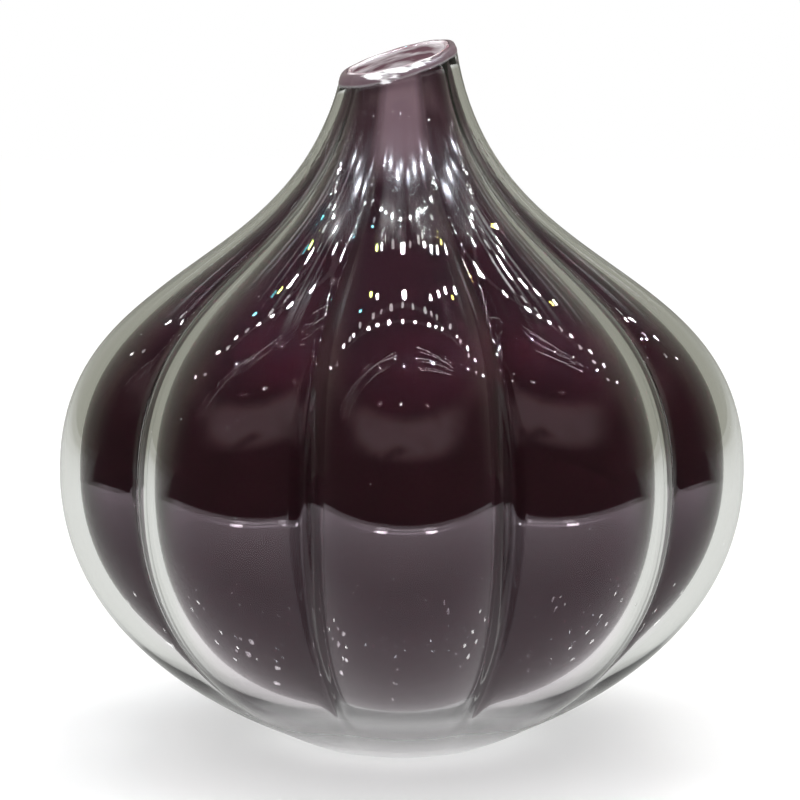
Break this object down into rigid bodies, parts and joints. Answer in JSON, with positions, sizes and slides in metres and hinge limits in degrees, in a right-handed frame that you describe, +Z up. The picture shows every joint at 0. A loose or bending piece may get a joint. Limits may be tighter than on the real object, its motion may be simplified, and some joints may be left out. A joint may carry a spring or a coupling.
{
  "type": "onion-shaped glass vase",
  "caption": "Squat lobed vase in the shape of an onion bulb, thick clear glass over a dark plum lining, with a slanted narrow mouth.",
  "frame": {"origin": "middle of the foot, on the surface that the vase stands on", "axes": "+Z up along the axis of the bulb; -Y towards the lobe that faces the viewer; the slanted mouth is highest towards +X"},
  "size_m": [0.165, 0.17, 0.1728],
  "materials": {
    "clear_glass": "clear, fire-polished, with a faint grey-green tint",
    "plum_glass": "dark plum, smooth, lets a little light through at the neck"
  },
  "bodies": {
    "root": {"clear_casing": "clear_glass", "plum_lining": "plum_glass"}
  },
  "joints": []
}
